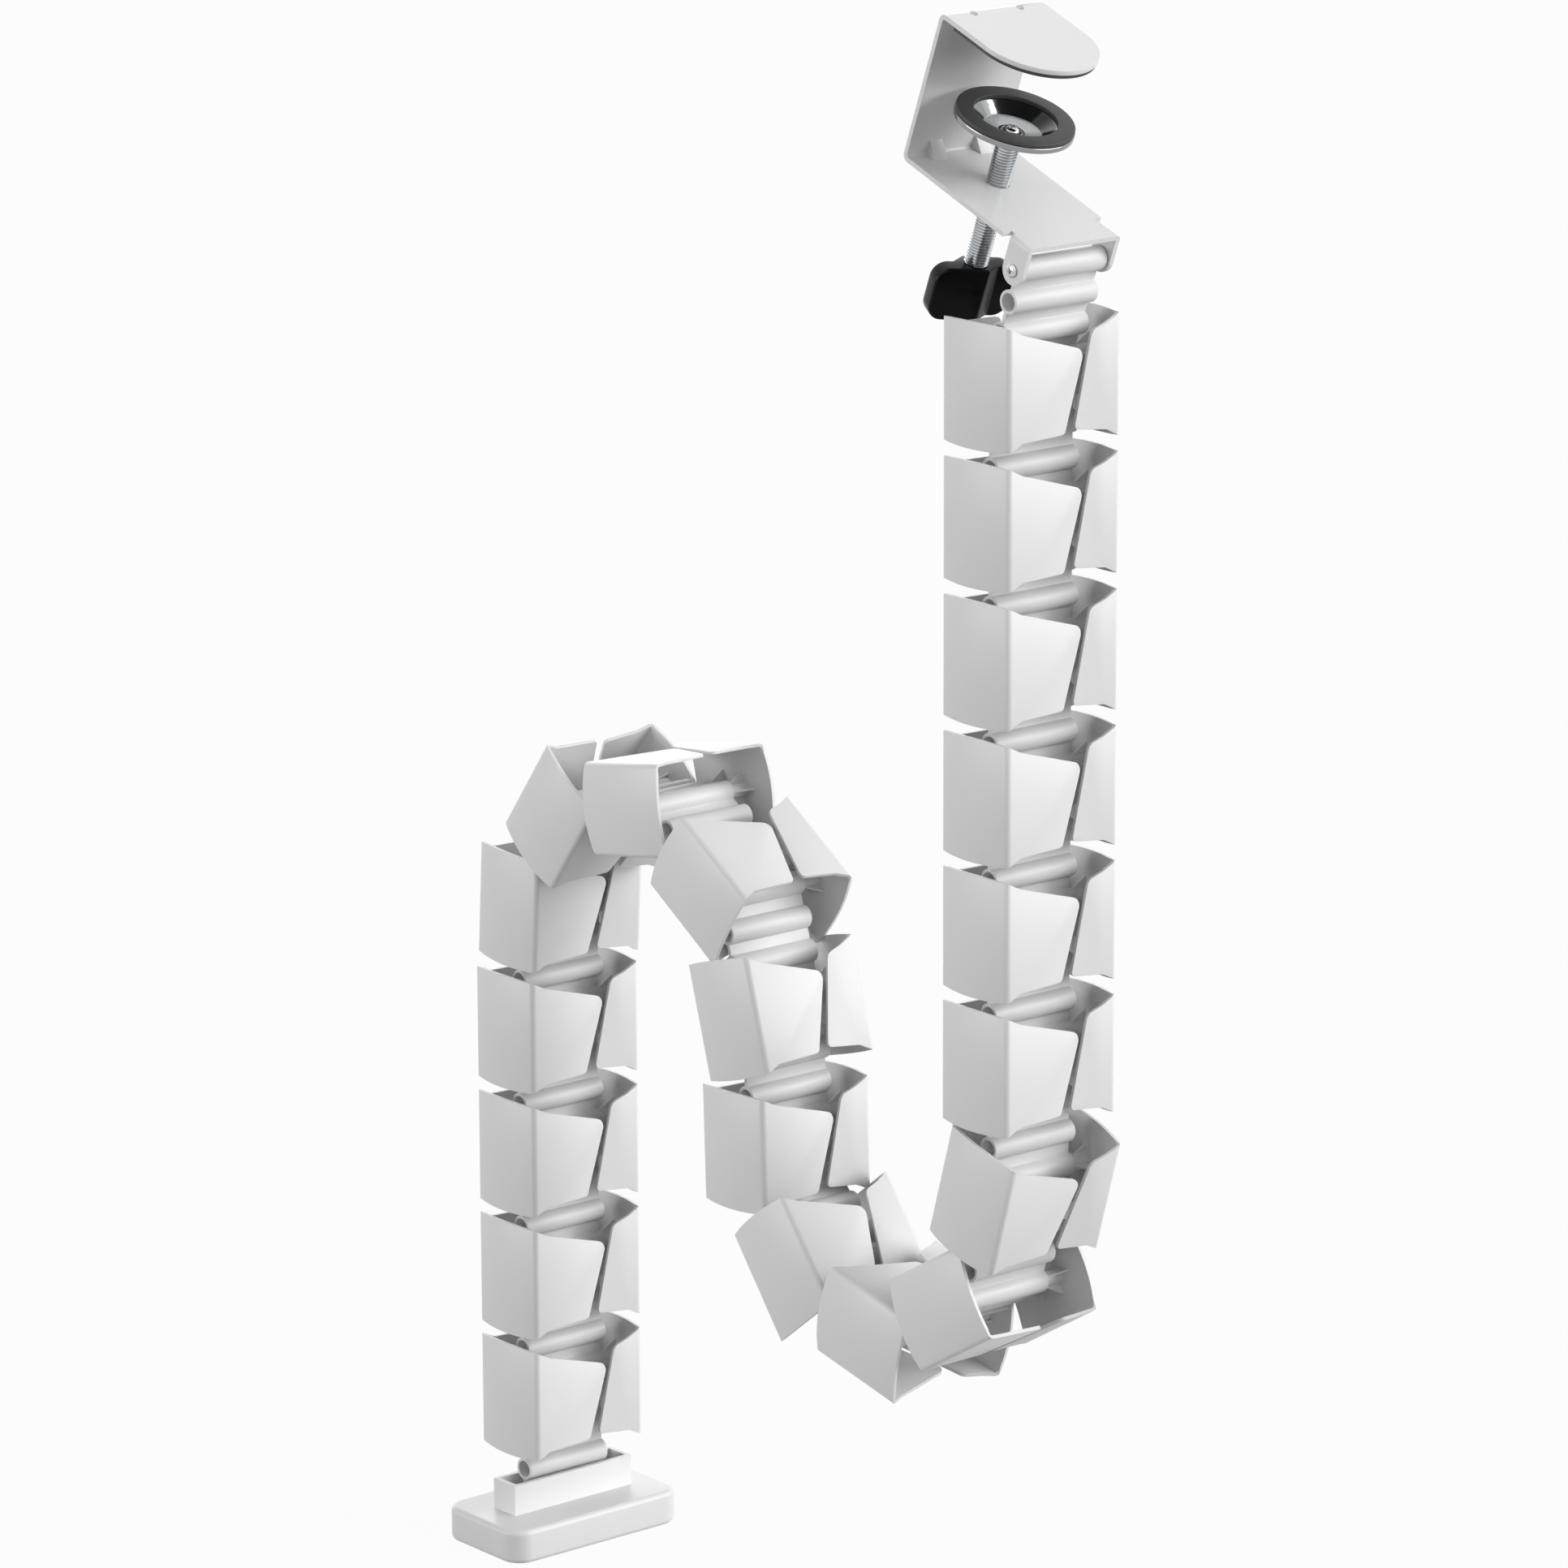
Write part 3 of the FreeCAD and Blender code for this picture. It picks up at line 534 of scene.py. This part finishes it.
centre_place = (stem_place @ Matrix.Translation((0, 0, (plate_floor + 0.02) * MM))
                @ Matrix.Rotation(math.radians(20), 4, "Z"))
centre_form = pan_head("centre_screw", radius=3.4, height=2.2, shank=1.8, length=6.8, recess=3.6)
centre_screw = new_object("centre_screw", centre_form, zinc, "spindle", centre_place)
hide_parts("plate_screw")

ear_form = pan_head("ear_screw", radius=2.7, height=1.7, shank=1.3, length=8.8, recess=3.2)
for side, word in ((-1, "left"), (1, "right")):
    aim = Matrix.Rotation(math.radians(90 * side), 4, "Y") @ Matrix.Rotation(math.radians(25), 4, "Z")
    screw = new_object("ear_screw_%s" % word, ear_form, zinc, "clamp",
                       clamp_place @ Matrix.Translation((EAR_FACE * side * MM, 0, 0)) @ aim)
    if side < 0:
        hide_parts("ear_screws")


# Knob: two thick wings set off to opposite sides of the stem, their outline rounded like a leaf
def knob_form():
    bm = bmesh.new()
    wing_back = KNOB_HALF_DEPTH - KNOB_WING
    half_plan = [
        (-KNOB_REACH, -KNOB_HALF_DEPTH),
        (KNOB_WAIST, -KNOB_HALF_DEPTH),
        (KNOB_WING_START, wing_back - KNOB_DRAFT),
        (KNOB_REACH, wing_back),
    ]
    plan = half_plan + [(-x, -y) for x, y in half_plan]
    low = [bm.verts.new((x * MM, y * MM, (KNOB_TOP - KNOB_TALL) * MM)) for x, y in plan]
    high = [bm.verts.new((x * MM, y * MM, KNOB_TOP * MM)) for x, y in plan]
    bm.faces.new(list(reversed(low)))
    bm.faces.new(high)
    band(bm, low, high)
    bmesh.ops.recalc_face_normals(bm, faces=bm.faces)
    tips = []
    for edge in bm.edges:
        a, b = (v.co for v in edge.verts)
        level = abs(a.x - b.x) < 1e-6 and abs(a.z - b.z) < 1e-6
        if level and abs(abs(a.x) - KNOB_REACH * MM) < 1e-6:
            tips.append(edge)
    round_off(bm, tips, KNOB_TIP_RADIUS, 14)
    round_off(bm, edges_sharper_than(bm, 24), 0.8, 4)
    return finished(bm, "knob_form", 30)


knob = new_object("knob_piece", knob_form(), gloss_black, "spindle",
                  stem_place @ Matrix.Rotation(math.radians(KNOB_TURN), 4, "Z"))
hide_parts("clamp_knob")

# Floor: pale to the eye, with the object's shadow, and darker to the light that it throws back
floor_mesh = bpy.data.meshes.new("floor_mesh")
floor_mesh.from_pydata([(-30, -30, 0), (30, -30, 0), (30, 30, 0), (-30, 30, 0)], [], [(0, 1, 2, 3)])
floor = bpy.data.objects.new("floor", floor_mesh)
bpy.context.collection.objects.link(floor)
floor.location.z = -0.0002
material, tree, shader = nodes_of("pale_floor")
tree.links.new(blend_colours(tree, noise(tree, 1.5), grey(0.34), grey(0.37)), shader.inputs["Base Color"])
shader.inputs["Roughness"].default_value = 0.9
shader.inputs["Specular IOR Level"].default_value = 0.1
glow = tree.nodes.new("ShaderNodeEmission")
glow.inputs["Strength"].default_value = 1.0
share = tree.nodes.new("ShaderNodeMath")
share.operation = "MULTIPLY"
share.inputs[1].default_value = 0.96
tree.links.new(background_rays(tree), share.inputs[0])
mix = tree.nodes.new("ShaderNodeMixShader")
tree.links.new(share.outputs[0], mix.inputs[0])
tree.links.new(shader.outputs[0], mix.inputs[1])
tree.links.new(glow.outputs[0], mix.inputs[2])
tree.links.new(mix.outputs[0], tree.nodes["Material Output"].inputs["Surface"])
floor_mesh.materials.append(material)
